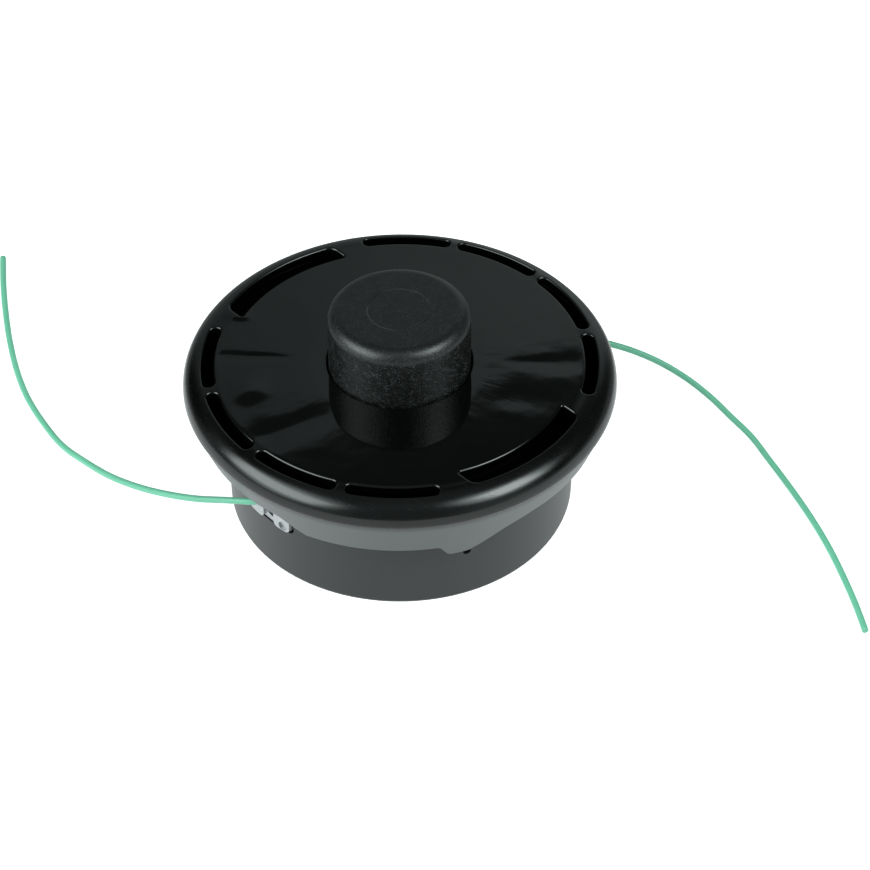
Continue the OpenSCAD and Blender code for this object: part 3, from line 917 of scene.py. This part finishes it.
def bench_material():
    material = bpy.data.materials.new("bench")
    tree = Tree(material)
    x, y, _ = tree.axes(tree.make("TexCoord", {}, {}, "Object"))
    left = (-x).ramp(0.0, SIDE_REACH, 0.0, LEFT_MORE)
    right = x.ramp(0.0, SIDE_REACH, 0.0, RIGHT_MORE)
    strength = y.ramp(*GLOW_BORDER, GLOW_FRONT, GLOW_BACK) * (1 + (left + right))
    glow = tree.make("Emission", {}, {"Color": GLOW_TINT, "Strength": strength})
    plain = tree.make("Emission", {}, {"Color": (1, 1, 1, 1), "Strength": PLAIN_WHITE})
    matt = tree.make("BsdfDiffuse", {}, {"Color": MATT_WHITE})
    seen = tree.make("AddShader", {}, {0: plain, 1: matt})
    top = tree.mix_shader(tree.make("LightPath", {}, {}, "Is Camera Ray"), glow, seen)
    clear = tree.make("BsdfTransparent", {}, {})
    back = tree.make("NewGeometry", {}, {}, "Backfacing")
    tree.make("OutputMaterial", {}, {"Surface": tree.mix_shader(back, top, clear)})
    return material


def make_bench():
    data = bpy.data.meshes.new("bench")
    bm = bmesh.new()
    bmesh.ops.create_grid(bm, x_segments=4, y_segments=4, size=BENCH_HALF)
    bm.to_mesh(data)
    bm.free()
    bench = place_in_scene("bench", data)
    bench.location.z = BENCH_Z
    data.materials.append(bench_material())
    bench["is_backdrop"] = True


make_bench()
print("bench glows at", GLOW_FRONT)

# %% [markdown]
# ## The room and the lights
# The room is dim, which keeps the polished face black. Behind the head hangs one pale panel,
# whose lower half the face mirrors: its edge is the border between the grey and the black part of
# the face. Two soft boxes stand left and right of the camera and make the broad streaks on the
# rim and on the knob's edge. Their directions were found by following a ray from the camera to
# each streak and off the rim. A soft box fades towards its edges, so each has a halo in the room
# around it.

# %% Room
ROOM_TINT = (0.86, 1.0, 0.98, 1)
HALOS = (  # azimuth and elevation, core and reach in degrees, strength
    (203, 35, 12, 33, 3.2),
    (333, 48, 7, 25, 4.2),
    (223, 12, 4, 28, 0.28),
    (318, 12, 4, 28, 0.28),
)


def make_room():
    world = bpy.data.worlds.new("studio")
    scene.world = world
    tree = Tree(world)
    x, y, up = tree.axes(tree.make("TexCoord", {}, {}, "Generated"))
    turn = up.math("DEGREES", up.math("ARCTAN2", y, x))
    rise = up.math("DEGREES", up.math("ARCSINE", up))
    panel = turn.ramp(45, 62) * turn.ramp(135, 118) * turn.ramp(98, 84, 0.175, 0.46)
    panel_edge = (rise - 0.2 * (turn - 90)).ramp(41.95, 41.45)
    walls = 0.06 * (1 - 0.8 * (-x).ramp(0.35, 0.65) * rise.ramp(35, 20))
    behind_camera = 0.18 * (-y).ramp(0.1, 0.7)
    ceiling = rise.ramp(50, 75, 0.0, 0.15)
    left_low = 0.25 * (-x).ramp(0.82, 0.98) * rise.ramp(24, 14)
    right_low = 0.35 * x.ramp(0.6, 0.9) * rise.ramp(14, 0)
    level = walls + panel * panel_edge + behind_camera + ceiling + left_low + right_low
    for azimuth, elevation, core, reach, strength in HALOS:
        a, e = radians(azimuth), radians(elevation)
        near = x * (cos(e) * cos(a)) + y * (cos(e) * sin(a)) + up * sin(e)
        level = level + near.ramp(cos(radians(reach)), cos(radians(core)), 0.0, strength)
    room = tree.make("Background", {}, {"Color": ROOM_TINT, "Strength": level})
    white = tree.make("Background", {}, {"Color": (1, 1, 1, 1), "Strength": 1.0})
    camera_ray = tree.make("LightPath", {}, {}, "Is Camera Ray")
    tree.make("OutputWorld", {}, {"Surface": tree.mix_shader(camera_ray, room, white)})
    print("room has", len(tree.tree.nodes), "nodes")


make_room()

# %% Soft boxes
BOX_TINT = (0.96, 1.0, 1.0)
BOX_AIM = Vector((0, 0, 45)) * MM


def soft_box(name, azimuth, elevation, distance, size, power):
    """An area light that looks at the head from the given direction, azimuth from +X."""
    data = bpy.data.lights.new(name, "AREA")
    data.shape = "RECTANGLE"
    data.size, data.size_y = size
    data.energy, data.color = power, BOX_TINT
    light = place_in_scene(name, data)
    a, e = radians(azimuth), radians(elevation)
    place = BOX_AIM + distance * Vector((cos(e) * cos(a), cos(e) * sin(a), sin(e)))
    light.location = place
    light.rotation_euler = (BOX_AIM - place).to_track_quat("-Z", "Y").to_euler()
    light.visible_camera = False
    print(name, "at", [round(c, 2) for c in place], "with", power, "W")


soft_box("left_box", 203, 34.5, distance=1.1, size=(0.92, 0.54), power=5.6)
soft_box("right_box", 333, 46.5, distance=1.1, size=(0.42, 0.46), power=3.4)

# %% [markdown]
# ## Measure
# The sizes of the CAD parts and of the dressed scene are printed side by side, in millimetres.

# %% Sizes
boxes = {"cad": cad_box, "visual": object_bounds()}
for name, (low, high) in boxes.items():
    print(name, [round((b - a) / MM, 1) for a, b in zip(low, high)], "mm")
